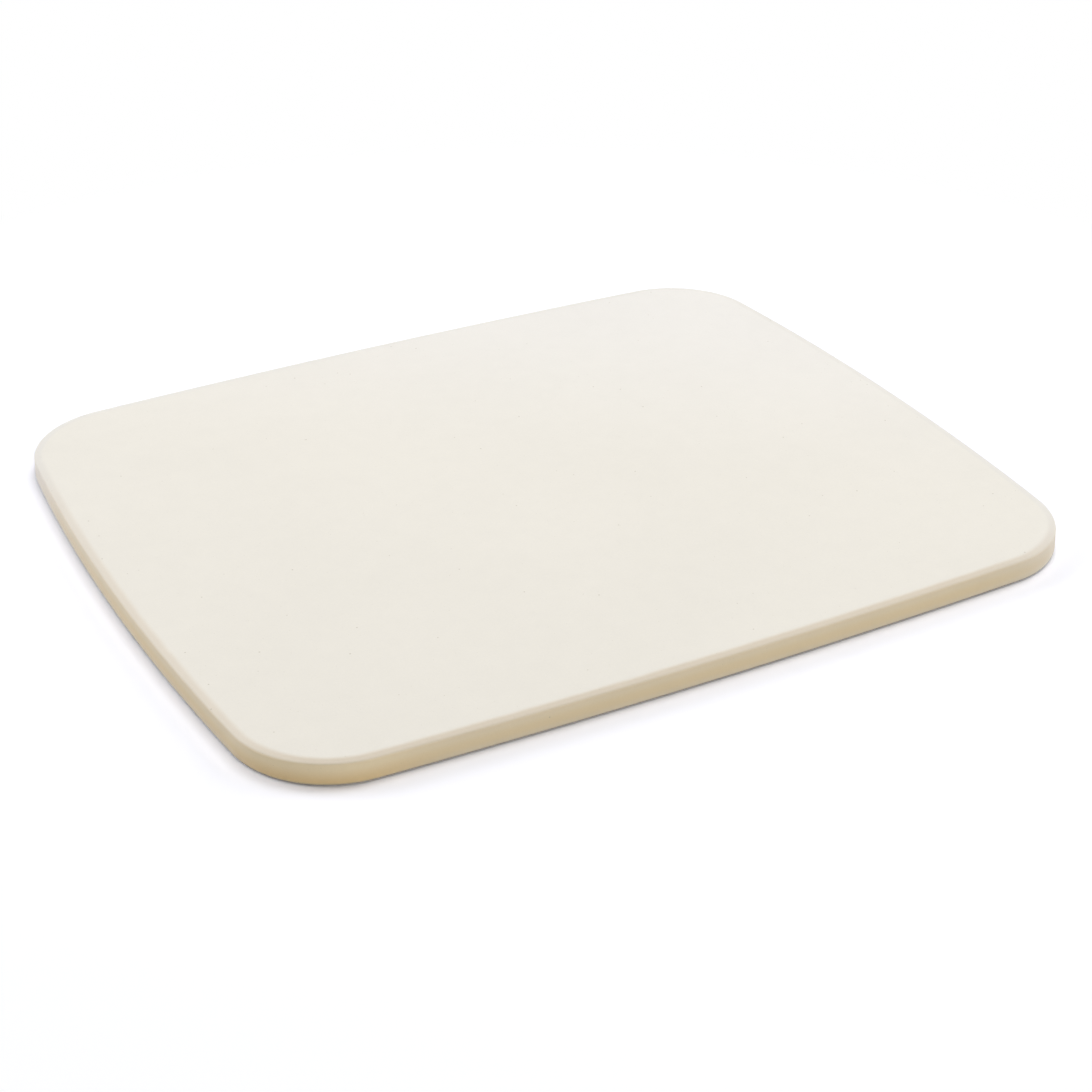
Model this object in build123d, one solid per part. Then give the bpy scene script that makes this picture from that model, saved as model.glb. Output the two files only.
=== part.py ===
from build123d import *
import os
from math import atan2, degrees, hypot, radians, tan

# A flat baking stone: one pressed and fired ceramic slab with gently swelling
# sides, round corners, a softened band round its baking face and a flat underside.
# Millimetres. X runs along the long sides, Y along the short ones, +Z is up.
# The origin is the middle of the underside.

# Plan, at the rim of the baking face
length = 380.0  # across the two short sides at their middles
width = 320.0  # across the two long sides at their middles
long_side_bow = 5.0  # how far a long side swells past a straight line
short_side_bow = 9.5  # how far a short side swells past a straight line
corner_radius = 42.5

# Section
thickness = 10.0
wall_draft = 0.5  # how much further out each wall stands at its foot
edge_band_width = 3.0  # the softened band round the baking face, seen from above
edge_band_drop = 0.5  # how far the band falls from the baking face to the wall
edge_turn_radius = 0.9  # where the band turns down into the wall
band_blend_radius = 6.0  # where the baking face eases into the band
foot_round_radius = 1.4  # where the wall turns under

# How much of the surface beside it each rounding may use up, at most
corner_room_share = 0.9
turn_room_share = 0.6
blend_room_share = 0.3
foot_room_share = 0.5

# How near to a stated height a ring of edges counts as lying at it,
# as a share of the band's drop
level_share = 0.1


# Sizes worked out from the ones above
half_length = length / 2
half_width = width / 2
corner_x = half_length - short_side_bow
corner_y = half_width - long_side_bow
rim_height = thickness - edge_band_drop
draft_angle = degrees(atan2(wall_draft, thickness))
band_angle = degrees(atan2(edge_band_drop, edge_band_width))
band_slant = hypot(edge_band_width, edge_band_drop)


def rounding(radius, turn_angle, room):
    """The radius asked for, or the largest one whose tangents stay inside the room."""
    return min(radius, room / tan(radians(turn_angle / 2)))


def plan():
    """The outline seen from above: four long arcs, and round corners between them."""
    front = ThreePointArc((-corner_x, -corner_y), (0, -half_width), (corner_x, -corner_y))
    right = ThreePointArc((corner_x, -corner_y), (half_length, 0), (corner_x, corner_y))
    back = ThreePointArc((corner_x, corner_y), (0, half_width), (-corner_x, corner_y))
    left = ThreePointArc((-corner_x, corner_y), (-half_length, 0), (-corner_x, -corner_y))
    face = make_face(front + right + back + left)
    room = corner_room_share * min(corner_x, corner_y)
    return fillet(face.vertices(), min(corner_radius, room))


def ring(body, height):
    """The closed ring of edges that lies at one height."""
    near = level_share * edge_band_drop
    return body.edges().filter_by_position(Axis.Z, height - near, height + near)


def blank():
    """The pressed slab before its edges are softened, a little wider at its foot."""
    top = Pos(0, 0, thickness) * plan()
    return extrude(top, amount=thickness, dir=(0, 0, -1), taper=-draft_angle)


def with_edge_band(body):
    """The slab with the band round its baking face, eased into the face and the wall."""
    face = body.faces().sort_by(Axis.Z)[-1]
    body = chamfer(face.edges(), edge_band_width, edge_band_drop, reference=face)
    turn = 90 - band_angle - draft_angle
    turn_room = turn_room_share * min(band_slant, rim_height)
    body = fillet(ring(body, rim_height), rounding(edge_turn_radius, turn, turn_room))
    blend_room = blend_room_share * band_slant
    return fillet(ring(body, thickness), rounding(band_blend_radius, band_angle, blend_room))


def with_foot_round(body):
    """The slab with the small round where its wall turns under."""
    turn = 90 + draft_angle
    return fillet(ring(body, 0), rounding(foot_round_radius, turn, foot_room_share * rim_height))


def baking_stone():
    """The whole slab, with every edge softened."""
    return with_foot_round(with_edge_band(blank()))


os.makedirs("parts", exist_ok=True)
stone = baking_stone()
export_step(stone, "parts/baking_stone.step")

size = stone.bounding_box().size
print("baking_stone", size.X, size.Y, size.Z, "volume", stone.volume)
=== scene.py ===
"""A flat ceramic baking stone, dressed for a plain studio picture.

The slab is shaped by one Geometry Nodes tree: its edge section, with every
rounding, is carried round a plan of four shallow arcs and four round corners.
Its finish is fired ceramic, paler on the smoothed baking face than on the
skin of its wall and underside. Its colours also carry painted light and
shade: painted sheen on the far side, painted light and shade on the wall
at the near corner, and painted shade at the foot and in the pores.

Everything is in metres. X runs along the long sides, Z is up, and the origin
is the middle of the underside.
"""

from __future__ import annotations

import logging
import math
from dataclasses import dataclass, field
from enum import Enum
from typing import Any, Mapping, Sequence, Union

import bpy
from mathutils import Matrix, Vector


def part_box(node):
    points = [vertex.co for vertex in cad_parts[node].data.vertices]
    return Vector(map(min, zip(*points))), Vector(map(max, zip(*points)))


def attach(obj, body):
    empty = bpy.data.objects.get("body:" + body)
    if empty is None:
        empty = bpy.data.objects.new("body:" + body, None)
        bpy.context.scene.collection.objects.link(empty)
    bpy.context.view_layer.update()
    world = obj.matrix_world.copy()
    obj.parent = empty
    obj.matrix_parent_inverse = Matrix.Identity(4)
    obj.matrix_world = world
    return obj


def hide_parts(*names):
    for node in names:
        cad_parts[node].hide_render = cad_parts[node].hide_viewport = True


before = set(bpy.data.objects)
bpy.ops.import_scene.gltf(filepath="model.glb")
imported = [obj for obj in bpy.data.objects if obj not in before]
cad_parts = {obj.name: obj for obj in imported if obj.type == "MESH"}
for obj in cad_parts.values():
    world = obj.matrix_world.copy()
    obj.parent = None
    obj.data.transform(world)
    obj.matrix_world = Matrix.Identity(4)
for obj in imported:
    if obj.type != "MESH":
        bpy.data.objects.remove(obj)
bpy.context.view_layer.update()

MM = 0.001
NODE = "baking_stone"
BODY = "root"
EDGE_WAY = "edge_way"
NOISE_MIDDLE = 0.5

log = logging.getLogger("baking_stone")

Colour = tuple[float, float, float, float]
Operand = Union["Wire", float]
Value = Union["Wire", float, int, bool, str, Sequence[float], bpy.types.ID]


def paint(red: int, green: int, blue: int) -> Colour:
    """Turns a screen colour into the linear one that a shader takes.

    Args:
        red: Red, from 0 to 255.
        green: Green, from 0 to 255.
        blue: Blue, from 0 to 255.

    Returns:
        The colour as linear red, green and blue, with full alpha.
    """
    def linear(level: int) -> float:
        """One channel, by the screen's own curve."""
        share = level / 255
        return share / 12.92 if share <= 0.04045 else ((share + 0.055) / 1.055) ** 2.4

    return (linear(red), linear(green), linear(blue), 1.0)


class Wire:
    """A node's output that takes part in Python arithmetic."""

    def __init__(self, maker: NodeMaker, socket: bpy.types.NodeSocket) -> None:
        """Wraps one output socket.

        Args:
            maker: What adds nodes to the socket's tree.
            socket: The output socket.
        """
        self.maker = maker
        self.socket = socket

    def __add__(self, other: Operand) -> Wire:
        """The sum, as a Math node."""
        return self.maker.maths("ADD", self, other)

    def __radd__(self, other: Operand) -> Wire:
        """The sum, with the wire on the right."""
        return self.maker.maths("ADD", other, self)

    def __sub__(self, other: Operand) -> Wire:
        """The difference, as a Math node."""
        return self.maker.maths("SUBTRACT", self, other)

    def __rsub__(self, other: Operand) -> Wire:
        """The difference, with the wire on the right."""
        return self.maker.maths("SUBTRACT", other, self)

    def __mul__(self, other: Operand) -> Wire:
        """The product, as a Math node."""
        return self.maker.maths("MULTIPLY", self, other)

    def __rmul__(self, other: Operand) -> Wire:
        """The product, with the wire on the right."""
        return self.maker.maths("MULTIPLY", other, self)

    def __truediv__(self, other: Operand) -> Wire:
        """The quotient, as a Math node."""
        return self.maker.maths("DIVIDE", self, other)

    def __rtruediv__(self, other: Operand) -> Wire:
        """The quotient, with the wire on the right."""
        return self.maker.maths("DIVIDE", other, self)

    def __neg__(self) -> Wire:
        """The same value with its sign turned."""
        return self.maker.maths("MULTIPLY", self, -1.0)

    def __abs__(self) -> Wire:
        """The value without its sign."""
        return self.maker.maths("ABSOLUTE", self)


class Made:
    """A node that was added, whose outputs are asked for by name."""

    def __init__(self, maker: NodeMaker, node: bpy.types.Node) -> None:
        """Keeps the node and what made it.

        Args:
            maker: What added the node.
            node: The node.
        """
        self.maker = maker
        self.node = node

    def __getitem__(self, name: str) -> Wire:
        """The output of that name which the node's settings leave in use."""
        for socket in self.node.outputs:
            if socket.name == name and socket.enabled:
                return Wire(self.maker, socket)
        raise KeyError(f"{self.node.bl_idname} has no output named {name!r}")


class NodeMaker:
    """Adds nodes to one tree, for a finish or for a shape."""

    def __init__(self, tree: bpy.types.NodeTree) -> None:
        """Starts on a tree.

        Args:
            tree: The tree that the nodes go into.
        """
        self.tree = tree

    def node(
        self,
        kind: str,
        settings: Mapping[str, Any] | None = None,
        sockets: Mapping[str | int, Value] | None = None,
    ) -> Made:
        """Adds one node.

        Args:
            kind: The node's type, by Blender's own name.
            settings: The node's own properties, set first because they decide
                which sockets are in use.
            sockets: A value or a wire for each input, by name or by number.

        Returns:
            The node, whose outputs are read by name.
        """
        node = self.tree.nodes.new(kind)
        for name, setting in (settings or {}).items():
            setattr(node, name, setting)
        for key, value in (sockets or {}).items():
            self.feed(node, key, value)
        return Made(self, node)

    def feed(self, node: bpy.types.Node, key: str | int, value: Value) -> None:
        """Links a wire to an input, or sets the input's own value.

        Args:
            node: The node whose input it is.
            key: The input's name, or its number.
            value: The wire or the value.
        """
        if isinstance(key, int):
            socket = node.inputs[key]
        else:
            socket = next(s for s in node.inputs if s.name == key and s.enabled)
        if isinstance(value, Wire):
            self.tree.links.new(value.socket, socket)
        else:
            socket.default_value = value

    def maths(self, operation: str, *values: Operand) -> Wire:
        """Adds a Math node and gives its result.

        Args:
            operation: The node's operation.
            values: Its operands, in order.

        Returns:
            The result.
        """
        return self.node("ShaderNodeMath", {"operation": operation}, dict(enumerate(values)))["Value"]

    def largest(self, first: Operand, second: Operand) -> Wire:
        """The larger of two values."""
        return self.maths("MAXIMUM", first, second)

    def smallest(self, first: Operand, second: Operand) -> Wire:
        """The smaller of two values."""
        return self.maths("MINIMUM", first, second)

    def fade(self, value: Operand, low: Operand, high: Operand) -> Wire:
        """A soft step: 0 at low, 1 at high, and level outside them.

        Args:
            value: What is measured.
            low: Where the step begins.
            high: Where it ends. It may lie below low.

        Returns:
            The step, from 0 to 1.
        """
        sockets = {"Value": value, "From Min": low, "From Max": high}
        return self.node("ShaderNodeMapRange", {"interpolation_type": "SMOOTHSTEP"}, sockets)["Result"]

    def vector(self, x: Operand, y: Operand, z: Operand) -> Wire:
        """A vector from its three parts."""
        return self.node("ShaderNodeCombineXYZ", None, {"X": x, "Y": y, "Z": z})["Vector"]

    def parts(self, vector: Wire) -> tuple[Wire, Wire, Wire]:
        """The three parts of a vector."""
        split = self.node("ShaderNodeSeparateXYZ", None, {"Vector": vector})
        return split["X"], split["Y"], split["Z"]

    def noise(self, where: Wire, size: Operand, seed: Operand, detail: Operand) -> Wire:
        """Soft noise, about a half on average.

        Args:
            where: The place that it is read at, in metres.
            size: How far apart its lumps lie, in metres.
            seed: Which noise of its kind it is.
            detail: How many finer layers it has.

        Returns:
            The noise, from 0 to 1.
        """
        sockets = {"Vector": where, "W": seed, "Scale": 1 / size, "Detail": detail}
        return self.node("ShaderNodeTexNoise", {"noise_dimensions": "4D"}, sockets)["Fac"]


@dataclass(frozen=True)
class SideArc:
    """One bowed side of the plan, as the arc that it lies on.

    Attributes:
        reach: From the middle of the stone to the middle of the side.
        bow: How far the side swells past a straight line between its ends.
        half_chord: Half of that straight line.
    """

    reach: float
    bow: float
    half_chord: float

    @property
    def radius(self) -> float:
        """The arc's radius, from its chord and its bow."""
        return (self.half_chord**2 + self.bow**2) / (2 * self.bow)

    @property
    def centre(self) -> float:
        """How far out the arc's centre lies, which is behind the stone's middle."""
        return self.reach - self.radius


@dataclass(frozen=True)
class StonePlan:
    """The slab's outline seen from above, at the rim of its baking face.

    Attributes:
        length: Across the two short sides.
        width: Across the two long sides.
        long_side_bow: How far a long side swells.
        short_side_bow: How far a short side swells.
        corner_radius: The radius of each corner.
    """

    length: float
    width: float
    long_side_bow: float = 5.0 * MM
    short_side_bow: float = 9.5 * MM
    corner_radius: float = 42.5 * MM

    @property
    def long_side(self) -> SideArc:
        """The arc of the side that faces -Y or +Y."""
        return SideArc(self.width / 2, self.long_side_bow, self.length / 2 - self.short_side_bow)

    @property
    def short_side(self) -> SideArc:
        """The arc of the side that faces -X or +X."""
        return SideArc(self.length / 2, self.short_side_bow, self.width / 2 - self.long_side_bow)

    def corner_centre(self) -> tuple[float, float]:
        """The centre of the corner that touches both arcs from inside.

        Returns:
            Its X and Y, both positive.
        """
        from_long = self.long_side.radius - self.corner_radius
        from_short = self.short_side.radius - self.corner_radius
        start = Vector((0.0, self.long_side.centre))
        end = Vector((self.short_side.centre, 0.0))
        apart = (end - start).length
        along = (apart**2 + from_long**2 - from_short**2) / (2 * apart)
        aside = math.sqrt(from_long**2 - along**2)
        way = (end - start).normalized()
        outward = Vector((way.y, -way.x))
        centre = start + way * along + outward * aside
        return centre.x, centre.y

    def half_angles(self) -> tuple[float, float, float]:
        """Half the angle of a long side, of a short side and of a corner.

        Returns:
            The three half angles, in radians.
        """
        x, y = self.corner_centre()
        long_half = math.atan2(x, y - self.long_side.centre)
        short_half = math.atan2(y, x - self.short_side.centre)
        return long_half, short_half, (math.pi / 2 - long_half - short_half) / 2


@dataclass(frozen=True)
class EdgeSection:
    """The slab's edge as a saw cut would show it.

    Attributes:
        wall_draft: How much further out the wall stands at its foot.
        band_width: Width of the softened band round the baking face.
        band_drop: How far the band falls from the face to the wall.
        turn_radius: Where the band turns down into the wall.
        blend_radius: Where the face eases into the band.
        foot_radius: Where the wall turns under.
        face_lead: How much of the level face the section takes in.
        foot_lead: How much of the underside it takes in.
    """

    wall_draft: float = 0.5 * MM
    band_width: float = 3.0 * MM
    band_drop: float = 0.5 * MM
    turn_radius: float = 0.9 * MM
    blend_radius: float = 6.0 * MM
    foot_radius: float = 1.4 * MM
    face_lead: float = 3.0 * MM
    foot_lead: float = 2.0 * MM

    def foot_reach(self, thickness: float) -> float:
        """How far the rounded foot stands out past the rim.

        Args:
            thickness: The slab's thickness.

        Returns:
            The draft, less what the rounding takes off it.
        """
        corner = math.pi / 2 - math.atan2(self.wall_draft, thickness)
        return self.wall_draft - self.foot_radius * (1 / math.tan(corner / 2) - 1)


@dataclass(frozen=True)
class Relief:
    """How far the pressed surface departs from a true one, always inwards.

    Attributes:
        face_depth: The most that the faces dip.
        face_wave: How far apart the dips in the faces lie.
        wall_depth: The most that the wall dips.
        wall_wave: How far apart the dips in the wall lie.
        seed: Which pattern of dips it is.
        detail: How many finer layers of dips there are.
    """

    face_depth: float = 0.12 * MM
    face_wave: float = 70.0 * MM
    wall_depth: float = 0.15 * MM
    wall_wave: float = 24.0 * MM
    seed: float = 3.0
    detail: float = 1.0


@dataclass(frozen=True)
class MeshDensity:
    """How many faces the slab's mesh has each way.

    Attributes:
        along: Cells along a long side.
        across: Cells along a short side.
        rows: Rows of points over the edge section.
        rounding: Points that each rounding of it is drawn with.
    """

    along: int = 170
    across: int = 144
    rows: int = 48
    rounding: int = 12


class SocketKind(Enum):
    """The kinds of input that the slab's tree has."""

    LENGTH = "NodeSocketFloat"
    COUNT = "NodeSocketInt"
    FINISH = "NodeSocketMaterial"


@dataclass
class SlabTree:
    """The Geometry Nodes tree that shapes the slab.

    A box of cells is carried onto the slab. Its upright rows follow the edge
    section, its rings follow the plan, and its top and bottom fill them.

    Attributes:
        plan: The outline.
        section: The edge.
        relief: The unevenness of the surface.
        density: The number of cells.
        thickness: From the underside to the baking face.
        finish: The material of the whole slab.
        values: The value of each input, by the input's identifier.
    """

    plan: StonePlan
    section: EdgeSection
    relief: Relief
    density: MeshDensity
    thickness: float
    finish: bpy.types.Material
    values: dict[str, Any] = field(default_factory=dict)

    def build(self) -> bpy.types.GeometryNodeTree:
        """Makes the tree.

        Returns:
            The tree, which a modifier can use with the values in self.values.
        """
        self.tree = bpy.data.node_groups.new("pressed_slab", "GeometryNodeTree")
        self.tree.interface.new_socket("Slab", in_out="OUTPUT", socket_type="NodeSocketGeometry")
        self.make = NodeMaker(self.tree)
        self.declare_inputs()
        self.given = self.make.node("NodeGroupInput")
        cells = self.make.node(
            "GeometryNodeMeshCube",
            None,
            {
                "Size": (2.0, 2.0, 1.0),
                "Vertices X": self.given["Points Along"],
                "Vertices Y": self.given["Points Across"],
                "Vertices Z": self.given["Section Rows"],
            },
        )["Mesh"]
        across_x, across_y, up = self.make.parts(self.make.node("GeometryNodeInputPosition")["Position"])
        inset, height = self.section_point(up + 0.5)
        marked = self.with_edge_way(cells, inset, height)
        place = self.slab_point(across_x, across_y, inset, height)
        body = self.make.node("GeometryNodeSetPosition", None, {"Geometry": marked, "Position": place})
        self.finish_off(self.with_relief(body["Geometry"]))
        return self.tree

    def declare_inputs(self) -> None:
        """Gives the tree a named input for each size, and keeps the input's value."""
        long_half, short_half, corner_half = self.plan.half_angles()
        lengths = {
            "Long Side Reach": self.plan.long_side.reach,
            "Long Side Radius": self.plan.long_side.radius,
            "Long Side Half Angle": long_half,
            "Short Side Reach": self.plan.short_side.reach,
            "Short Side Radius": self.plan.short_side.radius,
            "Short Side Half Angle": short_half,
            "Corner Radius": self.plan.corner_radius,
            "Corner Half Angle": corner_half,
            "Thickness": self.thickness,
            "Wall Draft": self.section.wall_draft,
            "Band Width": self.section.band_width,
            "Band Drop": self.section.band_drop,
            "Turn Radius": self.section.turn_radius,
            "Blend Radius": self.section.blend_radius,
            "Foot Radius": self.section.foot_radius,
            "Face Lead": self.section.face_lead,
            "Foot Lead": self.section.foot_lead,
            "Face Depth": self.relief.face_depth,
            "Face Wave": self.relief.face_wave,
            "Wall Depth": self.relief.wall_depth,
            "Wall Wave": self.relief.wall_wave,
            "Seed": self.relief.seed,
            "Detail": self.relief.detail,
        }
        counts = {
            "Points Along": self.density.along + 1,
            "Points Across": self.density.across + 1,
            "Section Rows": self.density.rows,
            "Rounding Points": self.density.rounding,
        }
        self.declare(SocketKind.LENGTH, lengths)
        self.declare(SocketKind.COUNT, counts)
        self.declare(SocketKind.FINISH, {"Finish": self.finish})

    def declare(self, kind: SocketKind, values: Mapping[str, Any]) -> None:
        """Adds inputs of one kind.

        Args:
            kind: What the inputs hold.
            values: Each input's name and value.
        """
        for name, value in values.items():
            socket = self.tree.interface.new_socket(name, in_out="INPUT", socket_type=kind.value)
            self.values[socket.identifier] = value

    def pick(self, data_type: str, choices: Sequence[Value]) -> Wire:
        """Gives each point of a curve its own value, by its index.

        Args:
            data_type: FLOAT or VECTOR.
            choices: The values, from the first point on.

        Returns:
            The value for each point.
        """
        index = self.make.node("GeometryNodeInputIndex")["Index"]
        switch = self.make.node("GeometryNodeIndexSwitch", {"data_type": data_type}, {"Index": index})
        while len(switch.node.index_switch_items) < len(choices):
            switch.node.index_switch_items.new()
        for number, choice in enumerate(choices):
            self.make.feed(switch.node, number + 1, choice)
        return switch["Output"]

    def section_point(self, share: Wire) -> tuple[Wire, Wire]:
        """Where a share of the way along the edge section lies.

        The section runs from the underside round the foot, up the wall, over
        the band and onto the face. It is drawn with sharp corners, which are
        then rounded.

        Args:
            share: From 0 on the underside to 1 on the face.

        Returns:
            How far in from the rim the point lies, and how high. The foot
            lies outside the rim, so its way in is below 0.
        """
        given = self.given
        foot = -given["Wall Draft"]
        top = given["Thickness"]
        rim = foot * given["Band Drop"] / top
        band_end = given["Band Width"]
        corners = [
            self.make.vector(foot + given["Foot Radius"] + given["Foot Lead"], 0.0, 0.0),
            self.make.vector(foot, 0.0, 0.0),
            self.make.vector(rim, top - given["Band Drop"], 0.0),
            self.make.vector(band_end, top, 0.0),
            self.make.vector(band_end + given["Face Lead"], top, 0.0),
        ]
        radii = [0.0, given["Foot Radius"], given["Turn Radius"], given["Blend Radius"], 0.0]
        line = self.make.node("GeometryNodeCurvePrimitiveLine")["Curve"]
        points = self.make.node("GeometryNodeResampleCurve", None, {"Curve": line, "Count": len(corners)})
        sharp = self.make.node(
            "GeometryNodeSetPosition",
            None,
            {"Geometry": points["Curve"], "Position": self.pick("VECTOR", corners)},
        )
        rounded = self.make.node(
            "GeometryNodeFilletCurve",
            {"mode": "POLY"},
            {
                "Curve": sharp["Geometry"],
                "Radius": self.pick("FLOAT", radii),
                "Count": given["Rounding Points"],
            },
        )
        even = self.make.node(
            "GeometryNodeResampleCurve",
            None,
            {"Curve": rounded["Curve"], "Count": given["Section Rows"]},
        )
        found = self.make.node("GeometryNodeSampleCurve", None, {"Curves": even["Curve"], "Factor": share})
        inset, height, _ = self.make.parts(found["Position"])
        return inset, height

    def side_point(self, share: Wire, side: str, inset: Wire) -> tuple[Wire, Wire]:
        """A place on one side of the plan, with half a corner at each of its ends.

        Args:
            share: From -1 at the middle of one corner to 1 at the middle of the other.
            side: "Long Side" or "Short Side", which names the side's inputs.
            inset: How far inside the rim the place is.

        Returns:
            How far along the side and how far out from the stone's middle it is.
        """
        radius = self.given[f"{side} Radius"]
        half_angle = self.given[f"{side} Half Angle"]
        corner = self.given["Corner Radius"]
        travel = share * (radius * half_angle + corner * self.given["Corner Half Angle"])
        swing = self.make.largest(-half_angle, self.make.smallest(half_angle, travel / radius))
        turn = swing + (travel - swing * radius) / corner
        arm = radius - corner
        reach = corner - inset
        along = arm * self.make.maths("SINE", swing) + reach * self.make.maths("SINE", turn)
        out = arm * self.make.maths("COSINE", swing) + reach * self.make.maths("COSINE", turn)
        return along, out + (self.given[f"{side} Reach"] - radius)

    def slab_point(self, cell_x: Wire, cell_y: Wire, inset: Wire, height: Wire) -> Wire:
        """Carries a point of the box of cells onto the slab.

        Args:
            cell_x: The point's X in the box, from -1 to 1.
            cell_y: Its Y there, from -1 to 1.
            inset: How far inside the rim its ring is.
            height: How high its ring is.

        Returns:
            The point's place on the slab.
        """
        ring = self.make.largest(abs(cell_x), abs(cell_y))
        ring_x = cell_x / ring
        ring_y = cell_y / ring
        on_long = self.make.maths("GREATER_THAN", abs(cell_y), abs(cell_x))
        long_along, long_out = self.side_point(ring_x, "Long Side", inset)
        short_along, short_out = self.side_point(ring_y, "Short Side", inset)
        long_y = long_out * self.make.maths("SIGN", cell_y)
        short_x = short_out * self.make.maths("SIGN", cell_x)
        rim_x = short_x + (long_along - short_x) * on_long
        rim_y = short_along + (long_y - short_along) * on_long
        flat_x = cell_x * (self.given["Short Side Reach"] - inset)
        flat_y = cell_y * (self.given["Long Side Reach"] - inset)
        pull = ring * ring
        x = flat_x + (rim_x * ring - flat_x) * pull
        y = flat_y + (rim_y * ring - flat_y) * pull
        return self.make.vector(x, y, height)

    def with_edge_way(self, cells: Wire, inset: Wire, height: Wire) -> Wire:
        """Marks each point with its way from the rim, which the finish reads.

        The way is positive on the band and the face, and negative down the wall.

        Args:
            cells: The box of cells.
            inset: How far inside the rim each point is.
            height: How high each point is.

        Returns:
            The box, with the mark.
        """
        rim = self.given["Thickness"] - self.given["Band Drop"]
        way = inset - self.make.largest(rim - height, 0.0)
        sockets = {"Geometry": cells, "Name": EDGE_WAY, "Value": way}
        return self.make.node("GeometryNodeStoreNamedAttribute", None, sockets)["Geometry"]

    def with_relief(self, body: Wire) -> Wire:
        """Lets the surface dip a little, as a pressed one does.

        Args:
            body: The true slab.

        Returns:
            The slab with its relief.
        """
        where = self.make.node("GeometryNodeInputPosition")["Position"]
        normal = self.make.node("GeometryNodeInputNormal")["Normal"]
        level = abs(self.make.parts(normal)[2])
        seed, detail = self.given["Seed"], self.given["Detail"]
        face = self.given["Face Depth"] * self.make.noise(where, self.given["Face Wave"], seed, detail)
        wall = self.given["Wall Depth"] * self.make.noise(where, self.given["Wall Wave"], seed, detail)
        depth = wall + (face - wall) * level
        dip = self.make.node(
            "ShaderNodeVectorMath", {"operation": "SCALE"}, {"Vector": normal, "Scale": -depth}
        )["Vector"]
        return self.make.node("GeometryNodeSetPosition", None, {"Geometry": body, "Offset": dip})["Geometry"]

    def finish_off(self, body: Wire) -> None:
        """Ends the tree: smooth shading, one real mesh and its finish.

        Args:
            body: The shaped slab.
        """
        smooth = self.make.node("GeometryNodeSetShadeSmooth", None, {"Geometry": body})["Geometry"]
        real = self.make.node("GeometryNodeRealizeInstances", None, {"Geometry": smooth})["Geometry"]
        sockets = {"Geometry": real, "Material": self.given["Finish"]}
        dressed = self.make.node("GeometryNodeSetMaterial", None, sockets)["Geometry"]
        self.make.node("NodeGroupOutput", None, {"Slab": dressed})


@dataclass(frozen=True)
class LightAndToastFade:
    """How a colour gives way to another across the slab: painted light, shade and sheen, partly also a real
    toasting by the kiln's fire.

    Attributes:
        x: The way along X to the side where the second colour is full.
        y: The way to that side along Y.
        gone: How far that way from the slab's middle the colour is gone.
        full: How far that way it is full.
    """

    x: float
    y: float
    gone: float
    full: float

    def share(self, make: NodeMaker, where: Wire) -> Wire:
        """How much of the second colour the surface takes.

        Args:
            make: What adds the nodes.
            where: The place on the slab.

        Returns:
            The share of the second colour, from 0 to 1.
        """
        x, y, _ = make.parts(where)
        return make.fade(x * self.x + y * self.y, self.gone, self.full)


@dataclass(frozen=True)
class Fading:
    """Where one colour gives way to another, by the way from the rim.

    Attributes:
        starts: Where the second colour begins to show.
        full: Where it is full.
    """

    starts: float
    full: float

    def share(self, make: NodeMaker, way: Wire) -> Wire:
        """How much of the second colour shows, from 0 to 1."""
        return make.fade(way, self.starts, self.full)


@dataclass(frozen=True)
class Unevenness:
    """Something that wavers over the slab.

    Attributes:
        size: How far apart its lumps lie.
        seed: Which noise of its kind it is.
        detail: How many finer layers it has.
        strength: How far it swings in all.
    """

    size: float
    seed: float
    detail: float
    strength: float

    def noise(self, make: NodeMaker, where: Wire) -> Wire:
        """The noise that it follows, from 0 to 1."""
        return make.noise(where, self.size, self.seed, self.detail)

    def swing(self, make: NodeMaker, where: Wire) -> Wire:
        """How far it swings, to either side of 0."""
        return (self.noise(make, where) - NOISE_MIDDLE) * self.strength


@dataclass(frozen=True)
class Dots:
    """Scattered round marks of uneven size.

    Attributes:
        spacing: How far apart the marks would lie if none were missing.
        radius: The radius of the largest.
        missing: The share of them that is missing.
        strength: How strongly they take their colour.
        core_share: How much of a mark's radius is full, inside its soft border.
    """

    spacing: float
    radius: float
    missing: float
    strength: float
    core_share: float = 0.55

    def share(self, make: NodeMaker, where: Wire) -> Wire:
        """Where the marks are.

        Args:
            make: What adds the nodes.
            where: The place on the slab.

        Returns:
            1 on a mark, 0 off it.
        """
        cells = make.node("ShaderNodeTexVoronoi", None, {"Vector": where, "Scale": 1 / self.spacing})
        chance, _, _ = make.parts(cells["Color"])
        size = make.fade(chance, self.missing, 1.0) * (self.radius / self.spacing)
        return make.fade(cells["Distance"], size, size * self.core_share)


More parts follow.
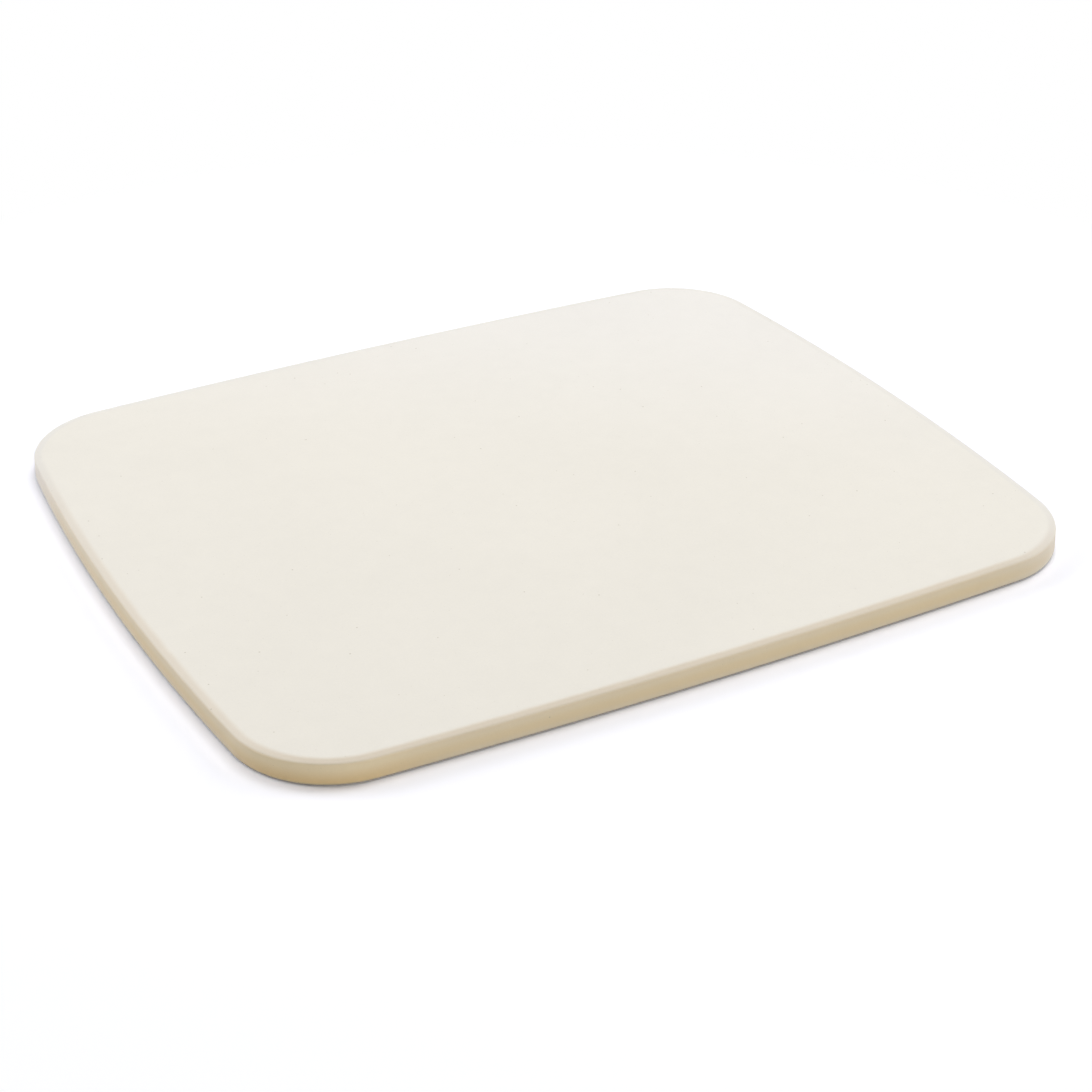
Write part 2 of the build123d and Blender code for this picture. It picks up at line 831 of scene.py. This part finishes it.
@dataclass(frozen=True)
class FiredCeramic:
    """The finish of the whole slab.

    Attributes:
        face: The smoothed baking face, on the near side.
        sheened_face: The same on the far side, paler and cooler: painted sheen.
        band: The skin of the band along the long side on the near side: its own colour, partly darkened with
            painted shade.
        lit_side_band: The same along the short side there, lighter: painted light.
        sheened_band: The same on the far side, paler: painted sheen.
        wall: The skin of the wall and the underside, on the near side.
        wall_top: The same just under the band.
        wall_low: The same just above the foot.
        pale_wall: The same on the far side, paler and cooler: partly a real change in the fired skin, partly
            painted sheen.
        lit_corner_top: The upper wall at the near corner, lighter: painted light.
        shaded_corner_foot: The lower wall at that corner, darker: painted shade.
        foot: The skin where the wall turns under, painted dark grey: painted shade where the slab meets the
            floor.
        speck: Grains of dark grog in the body.
        face_sheen_fade: Where the face goes from its painted sheen to its own colour.
        skin_sheen_and_toast: Where the band and the wall go from their far side's colours to their own, by
            all of these at once: painted sheen, on the wall partly also a real toasting.
        band_light_fade: Where the band goes from the short side's painted light to the long side's colour.
        corner_light_fade: Where the near corner's painted light and shade lie.
        skin_fading: Where the face goes to the skin.
        wall_fading: Where the band goes to the wall.
        top_fading: Where the wall's top goes to the wall.
        low_fading: Where the wall goes to its lowest part.
        corner_shade_fading: Where the corner's painted light above goes to its painted shade below.
        foot_shade_fading: Where the wall goes to the painted shade at the foot.
        stray: How far the border between face and skin strays.
        clouds: The faint clouds in the colour.
        mottle: The finer mottling in them.
        grain: The sandy grain.
        specks: The dark specks.
        pores: The open pores, darkened as painted shade inside them.
        face_roughness: Roughness of the face.
        skin_roughness: Roughness of the skin.
        grain_roughness: How far the grain swings it.
        face_grain_height: Height of the grain on the face, in millimetres.
        skin_grain_height: The same on the skin.
        pore_depth: Depth of the pores, in millimetres.
        ior: How much light the glassy part of the body bends, which sets its gloss.
    """

    face: Colour = paint(227, 222, 212)
    # The far side's face colour is painted sheen.
    sheened_face: Colour = paint(228, 224, 218)
    band: Colour = paint(213, 201, 183)
    # The short side's band colour is painted light.
    lit_side_band: Colour = paint(221, 211, 196)
    # The far side's band colour is painted sheen.
    sheened_band: Colour = paint(223, 219, 212)
    wall: Colour = paint(226, 207, 172)
    wall_top: Colour = paint(227, 211, 183)
    wall_low: Colour = paint(224, 209, 184)
    # The far side's wall colour is partly real, partly painted sheen.
    pale_wall: Colour = paint(229, 223, 216)
    # The near corner's colours are painted light at its top and painted shade towards its foot.
    lit_corner_top: Colour = paint(235, 217, 183)
    shaded_corner_foot: Colour = paint(226, 199, 152)
    # The foot's dark colour is painted shade where the slab meets the floor.
    foot: Colour = paint(183, 175, 164)
    speck: Colour = paint(170, 160, 140)
    face_sheen_fade: LightAndToastFade = LightAndToastFade(-0.6, -0.8, gone=-210.0 * MM, full=0.0)
    skin_sheen_and_toast: tuple[LightAndToastFade, ...] = (
        LightAndToastFade(-0.6, -0.8, gone=-20.0 * MM, full=60.0 * MM),
        LightAndToastFade(0.0, -1.0, gone=-260.0 * MM, full=40.0 * MM),
    )
    band_light_fade: LightAndToastFade = LightAndToastFade(0.0, -1.0, gone=120.0 * MM, full=152.0 * MM)
    corner_light_fade: LightAndToastFade = LightAndToastFade(-0.54, -0.84, gone=192.0 * MM, full=216.0 * MM)
    skin_fading: Fading = Fading(4.8 * MM, 2.0 * MM)
    wall_fading: Fading = Fading(0.9 * MM, -0.7 * MM)
    top_fading: Fading = Fading(-1.5 * MM, -5.0 * MM)
    low_fading: Fading = Fading(-6.0 * MM, -8.6 * MM)
    corner_shade_fading: Fading = Fading(-1.5 * MM, -8.0 * MM)
    foot_shade_fading: Fading = Fading(-8.4 * MM, -9.2 * MM)
    stray: Unevenness = Unevenness(size=9.0 * MM, seed=5.0, detail=2.0, strength=0.9 * MM)
    clouds: Unevenness = Unevenness(size=90.0 * MM, seed=2.0, detail=2.0, strength=0.05)
    mottle: Unevenness = Unevenness(size=9.0 * MM, seed=3.0, detail=4.0, strength=0.04)
    grain: Unevenness = Unevenness(size=0.7 * MM, seed=1.0, detail=3.0, strength=0.06)
    specks: Dots = Dots(spacing=5.0 * MM, radius=0.45 * MM, missing=0.6, strength=0.55)
    # The pores are darkened as painted shade inside them.
    pores: Dots = Dots(spacing=1.9 * MM, radius=0.22 * MM, missing=0.5, strength=0.35)
    face_roughness: float = 0.62
    skin_roughness: float = 0.72
    grain_roughness: float = 0.14
    face_grain_height: float = 0.035
    skin_grain_height: float = 0.065
    pore_depth: float = 0.06
    ior: float = 1.45

    def material(self) -> bpy.types.Material:
        """Makes the finish.

        Returns:
            The material.
        """
        material = bpy.data.materials.new("fired_ceramic")
        material.use_nodes = True
        material.node_tree.nodes.clear()
        make = NodeMaker(material.node_tree)
        where = make.node("ShaderNodeTexCoord")["Object"]
        way = make.node("ShaderNodeAttribute", {"attribute_name": EDGE_WAY})["Fac"]
        grain = self.grain.noise(make, where)
        pores = self.pores.share(make, where)
        skin = self.skin_fading.share(make, way + self.stray.swing(make, where))
        surface = make.node(
            "ShaderNodeBsdfPrincipled",
            None,
            {
                "Base Color": self.colour(make, where, way, skin, grain, pores),
                "Roughness": self.face_roughness + (grain - NOISE_MIDDLE) * self.grain_roughness
                + skin * (self.skin_roughness - self.face_roughness),
                "Normal": self.bump(make, grain, pores, skin),
                "IOR": self.ior,
            },
        )
        make.node("ShaderNodeOutputMaterial", None, {"Surface": surface["BSDF"]})
        return material

    def colour(
        self, make: NodeMaker, where: Wire, way: Wire, skin: Wire, grain: Wire, pores: Wire
    ) -> Wire:
        """The colour over the whole slab.

        Args:
            make: What adds the nodes.
            where: The place on the slab.
            way: The way from the rim.
            skin: How much of the surface is fired skin.
            grain: The sandy grain.
            pores: The open pores.

        Returns:
            The colour.
        """
        # The face turns paler towards the far side: painted sheen.
        face = self.mix(make, self.face_sheen_fade.share(make, where), self.sheened_face, self.face)
        # Towards the far side the band and the wall turn paler: painted sheen, on the wall partly also a
        # real change in the skin.
        near_side = math.prod(skin_fade.share(make, where) for skin_fade in self.skin_sheen_and_toast)
        band = self.band_skin(make, where, near_side)
        wall = self.wall_skin(make, where, way, near_side)
        edge = self.mix(make, self.wall_fading.share(make, way), band, wall)
        base = self.mix(make, skin, face, edge)
        tone = 1.0 + self.clouds.swing(make, where) + self.mottle.swing(make, where)
        light = tone + (grain - NOISE_MIDDLE) * self.grain.strength
        base = make.node(
            "ShaderNodeVectorMath", {"operation": "SCALE"}, {"Vector": base, "Scale": light}
        )["Vector"]
        specks = self.specks.share(make, where)
        base = self.mix(make, specks * self.specks.strength, base, self.speck)
        # The pores are darkened with the speck colour: painted shade inside them.
        return self.mix(make, pores * self.pores.strength, base, self.speck)

    def band_skin(self, make: NodeMaker, where: Wire, near_side: Wire) -> Wire:
        """The colour of the band round the face, with painted light, shade and sheen.

        Args:
            make: What adds the nodes.
            where: The place on the slab.
            near_side: How far the skin is on the near side, away from the far side's painted sheen.

        Returns:
            The colour.
        """
        # Along the short side the band is painted lighter: painted light. Along the near long side its own
        # colour is partly darkened with painted shade.
        band = self.mix(make, self.band_light_fade.share(make, where), self.lit_side_band, self.band)
        # The band's far side is painted sheen.
        return self.mix(make, near_side, self.sheened_band, band)

    def wall_skin(self, make: NodeMaker, where: Wire, way: Wire, near_side: Wire) -> Wire:
        """The colour of the wall, from its top to its foot, with a far side that is partly painted sheen,
        painted light and shade at the near corner and painted shade at the foot.

        Args:
            make: What adds the nodes.
            where: The place on the slab.
            way: The way from the rim.
            near_side: How far the wall is on the near side. Its far side is paler, partly by a real change
                in the skin and partly by painted sheen.

        Returns:
            The colour.
        """
        wall = self.mix(make, self.top_fading.share(make, way), self.wall_top, self.wall)
        wall = self.mix(make, self.low_fading.share(make, way), wall, self.wall_low)
        # The wall's far side is paler: partly a real change in the skin, partly painted sheen.
        wall = self.mix(make, near_side, self.pale_wall, wall)
        # At the near corner the wall is painted lighter at its top and darker towards its foot: painted
        # light and shade.
        corner = self.mix(make, self.corner_shade_fading.share(make, way), self.lit_corner_top, self.shaded_corner_foot)
        wall = self.mix(make, self.corner_light_fade.share(make, where), wall, corner)
        # The foot is painted dark: painted shade where the slab meets the floor.
        return self.mix(make, self.foot_shade_fading.share(make, way), wall, self.foot)

    @staticmethod
    def mix(make: NodeMaker, share: Wire, first: Wire | Colour, second: Wire | Colour) -> Wire:
        """Goes from one colour to another.

        Args:
            make: What adds the nodes.
            share: 0 for the first colour, 1 for the second.
            first: The first colour.
            second: The second colour.

        Returns:
            The colour between them.
        """
        sockets = {"Factor": share, "A": first, "B": second}
        return make.node("ShaderNodeMix", {"data_type": "RGBA"}, sockets)["Result"]

    def bump(self, make: NodeMaker, grain: Wire, pores: Wire, skin: Wire) -> Wire:
        """The fine relief: grain, coarser on the skin, and open pores.

        Args:
            make: What adds the nodes.
            grain: The sandy grain.
            pores: The open pores.
            skin: How much of the surface is fired skin.

        Returns:
            The surface's normal.
        """
        coarser = self.skin_grain_height - self.face_grain_height
        height = grain * (self.face_grain_height + skin * coarser) - pores * self.pore_depth
        return make.node("ShaderNodeBump", None, {"Height": height, "Distance": MM})["Normal"]


@dataclass
class BakingStone:
    """The whole object: one pressed and fired slab.

    Attributes:
        section: Its edge.
        relief: The unevenness of its surface.
        density: The number of cells in its mesh.
        finish: Its finish.
    """

    section: EdgeSection = field(default_factory=EdgeSection)
    relief: Relief = field(default_factory=Relief)
    density: MeshDensity = field(default_factory=MeshDensity)
    finish: FiredCeramic = field(default_factory=FiredCeramic)

    def build(self) -> bpy.types.Object:
        """Shapes and dresses the slab, and puts it in its node's place.

        Returns:
            The finished piece.
        """
        low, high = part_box(NODE)
        size = high - low
        foot = 2 * self.section.foot_reach(size.z)
        plan = StonePlan(length=size.x - foot, width=size.y - foot)
        material = self.finish.material()
        shaper = SlabTree(plan, self.section, self.relief, self.density, size.z, material)
        piece = self.shaped(shaper)
        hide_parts(NODE)
        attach(piece, BODY)
        return piece

    @staticmethod
    def shaped(shaper: SlabTree) -> bpy.types.Object:
        """Runs the tree once and keeps its result as a plain mesh.

        Args:
            shaper: The tree with the slab's sizes.

        Returns:
            The slab, with no modifier on it.
        """
        blank = bpy.data.meshes.new("slab_blank")
        piece = bpy.data.objects.new("stone_slab", blank)
        bpy.context.scene.collection.objects.link(piece)
        tree = shaper.build()
        modifier = piece.modifiers.new("pressed_slab", "NODES")
        modifier.node_group = tree
        for identifier, value in shaper.values.items():
            modifier[identifier] = value
        graph = bpy.context.evaluated_depsgraph_get()
        result = bpy.data.meshes.new_from_object(
            piece.evaluated_get(graph), preserve_all_data_layers=True, depsgraph=graph
        )
        piece.modifiers.remove(modifier)
        piece.data = result
        result.name = "stone_slab"
        bpy.data.meshes.remove(blank)
        bpy.data.node_groups.remove(tree)
        return piece


class Gel(Enum):
    """The colour of a lamp's light, as linear red, green and blue."""

    PLAIN = (1.0, 1.0, 0.98)
    WARM = (1.0, 0.995, 0.95)
    COOL = (0.98, 1.0, 1.06)


@dataclass(frozen=True)
class Lamp:
    """A soft square lamp that looks at the middle of the stone.

    Attributes:
        name: What it is called.
        azimuth: Where it stands, in degrees: 0 is in front, 90 to the right.
        elevation: How high it stands, in degrees.
        size: Its edge.
        power: Its power, in watts.
        distance: How far off it stands.
        gel: The colour of its light.
    """

    name: str
    azimuth: float
    elevation: float
    size: float
    power: float
    distance: float = 2.2
    gel: Gel = Gel.PLAIN

    def place(self) -> None:
        """Adds the lamp to the scene."""
        data = bpy.data.lights.new(self.name, "AREA")
        data.size = self.size
        data.energy = self.power
        data.color = self.gel.value
        lamp = bpy.data.objects.new(self.name, data)
        away = direction(self.azimuth, self.elevation)
        lamp.location = away * self.distance
        lamp.rotation_euler = away.to_track_quat("Z", "Y").to_euler()
        bpy.context.scene.collection.objects.link(lamp)


def direction(azimuth: float, elevation: float) -> Vector:
    """The way from the stone to something that stands round it.

    Args:
        azimuth: In degrees: 0 is in front, 90 to the right.
        elevation: In degrees above the floor.

    Returns:
        A vector of length 1.
    """
    turn = math.radians(azimuth)
    rise = math.radians(elevation)
    return Vector((
        math.sin(turn) * math.cos(rise),
        -math.cos(turn) * math.cos(rise),
        math.sin(rise),
    ))


@dataclass(frozen=True)
class PhotographView:
    """The camera that sees the stone as the photograph does.

    Attributes:
        azimuth: Where the camera stands, in degrees: below 0 is to the left.
        elevation: How high it stands, in degrees.
        roll: How far it leans, in degrees.
        distance: From the camera to the plane of the stone's middle.
        aside: How far that middle lies right of the camera's axis.
        below: How far it lies below the axis.
        focal_pixels: The focal length in the photograph's pixels.
        frame_pixels: The width and height of the photograph, in pixels.
    """

    azimuth: float = -28.027
    elevation: float = 30.028
    roll: float = 0.249
    distance: float = 984.15 * MM
    aside: float = -7.1 * MM
    below: float = -19.76 * MM
    focal_pixels: float = 2249.0
    frame_pixels: float = 1092.0

    def place(self) -> None:
        """Adds the camera and makes it the scene's own."""
        back = direction(self.azimuth, self.elevation)
        right = Vector((0.0, 0.0, 1.0)).cross(back).normalized()
        up = back.cross(right)
        lean = math.radians(self.roll)
        right, up = (
            right * math.cos(lean) - up * math.sin(lean),
            up * math.cos(lean) + right * math.sin(lean),
        )
        data = bpy.data.cameras.new("photograph_view")
        data.lens = self.focal_pixels / self.frame_pixels * data.sensor_width
        camera = bpy.data.objects.new("photograph_view", data)
        turned = Matrix((right, up, back)).transposed().to_4x4()
        middle = right * self.aside - up * self.below - back * self.distance
        camera.matrix_world = Matrix.Translation(-middle) @ turned
        bpy.context.scene.collection.objects.link(camera)
        bpy.context.scene.camera = camera


@dataclass(frozen=True)
class Studio:
    """A pale floor under soft light.

    Attributes:
        floor_size: The edge of the floor.
        floor_tint: The floor's colour, which also lights the wall from below.
        shown_tint: The floor's colour where the camera sees it.
        white_starts: How far from the middle the floor begins to turn plain white.
        white_ends: Where it has done so.
        lamps: The lamps.
    """

    floor_size: float = 12.0
    floor_tint: Colour = paint(236, 236, 236)
    shown_tint: Colour = (1.02, 1.02, 1.075, 1.0)
    white_starts: float = 0.3
    white_ends: float = 0.45
    lamps: tuple[Lamp, ...] = (
        Lamp("top", azimuth=0.0, elevation=88.0, size=0.8, power=10.2),
        Lamp("key_right", azimuth=120.0, elevation=68.0, size=0.8, power=14.3),
        Lamp("back", azimuth=180.0, elevation=45.0, size=1.0, power=6.9),
        Lamp("fill_front", azimuth=0.0, elevation=22.0, size=1.4, power=16.2, gel=Gel.WARM),
        Lamp("fill_right", azimuth=90.0, elevation=30.0, size=1.4, power=20.6, gel=Gel.COOL),
        Lamp("fill_left", azimuth=225.0, elevation=24.0, size=1.4, power=28.0, gel=Gel.COOL),
    )

    def build(self) -> None:
        """Adds the floor, the white behind it and the lamps."""
        self.lay_floor()
        self.whiten_world()
        for lamp in self.lamps:
            lamp.place()

    def lay_floor(self) -> None:
        """Adds the floor, which keeps the stone's shadow."""
        half = self.floor_size / 2
        corners = [(-half, -half, 0), (half, -half, 0), (half, half, 0), (-half, half, 0)]
        mesh = bpy.data.meshes.new("studio_floor")
        mesh.from_pydata(corners, [], [(0, 1, 2, 3)])
        mesh.materials.append(self.floor_material())
        floor = bpy.data.objects.new("studio_floor", mesh)
        bpy.context.scene.collection.objects.link(floor)

    def floor_material(self) -> bpy.types.Material:
        """The floor's finish: white to the camera, pale to the stone.

        The camera sees it lit by the lamps near the stone, so that it keeps
        the stone's shadow, and as plain white further off.

        Returns:
            The material.
        """
        material = bpy.data.materials.new("studio_floor")
        material.use_nodes = True
        material.node_tree.nodes.clear()
        make = NodeMaker(material.node_tree)
        seen = self.seen(make)
        plain = make.node("ShaderNodeBsdfDiffuse", None, {"Color": self.floor_tint})["BSDF"]
        shown = make.node("ShaderNodeBsdfDiffuse", None, {"Color": self.shown_tint})["BSDF"]
        lit = make.node("ShaderNodeMixShader", None, {0: seen, 1: plain, 2: shown})["Shader"]
        x, y, _ = make.parts(make.node("ShaderNodeTexCoord")["Object"])
        far = make.fade(x * x + y * y, self.white_starts**2, self.white_ends**2)
        white = make.node("ShaderNodeEmission", None, {"Strength": 1.0})["Emission"]
        surface = make.node("ShaderNodeMixShader", None, {0: far * seen, 1: lit, 2: white})["Shader"]
        make.node("ShaderNodeOutputMaterial", None, {"Surface": surface})
        return material

    @staticmethod
    def seen(make: NodeMaker) -> Wire:
        """1 for what is seen straight, in a reflection or through glass."""
        path = make.node("ShaderNodeLightPath")
        mirrored = make.largest(path["Is Glossy Ray"], path["Is Transmission Ray"])
        return make.largest(path["Is Camera Ray"], mirrored)

    def whiten_world(self) -> None:
        """Sets a world that is white where it is seen, and lights nothing else."""
        world = bpy.data.worlds.new("studio_white")
        world.use_nodes = True
        world.node_tree.nodes.clear()
        make = NodeMaker(world.node_tree)
        sockets = {"Color": (1.0, 1.0, 1.0, 1.0), "Strength": self.seen(make)}
        white = make.node("ShaderNodeBackground", None, sockets)["Background"]
        make.node("ShaderNodeOutputWorld", None, {"Surface": white})
        bpy.context.scene.world = world


def main() -> None:
    """Builds the stone, the studio and the camera, and reports each piece."""
    logging.basicConfig(level=logging.INFO, format="%(name)s: %(message)s")
    stone = BakingStone().build()
    log.info("%s: %d faces", stone.name, len(stone.data.polygons))
    Studio().build()
    PhotographView().place()
    bpy.context.scene.view_settings.view_transform = "Standard"


if __name__ == "__main__":
    main()
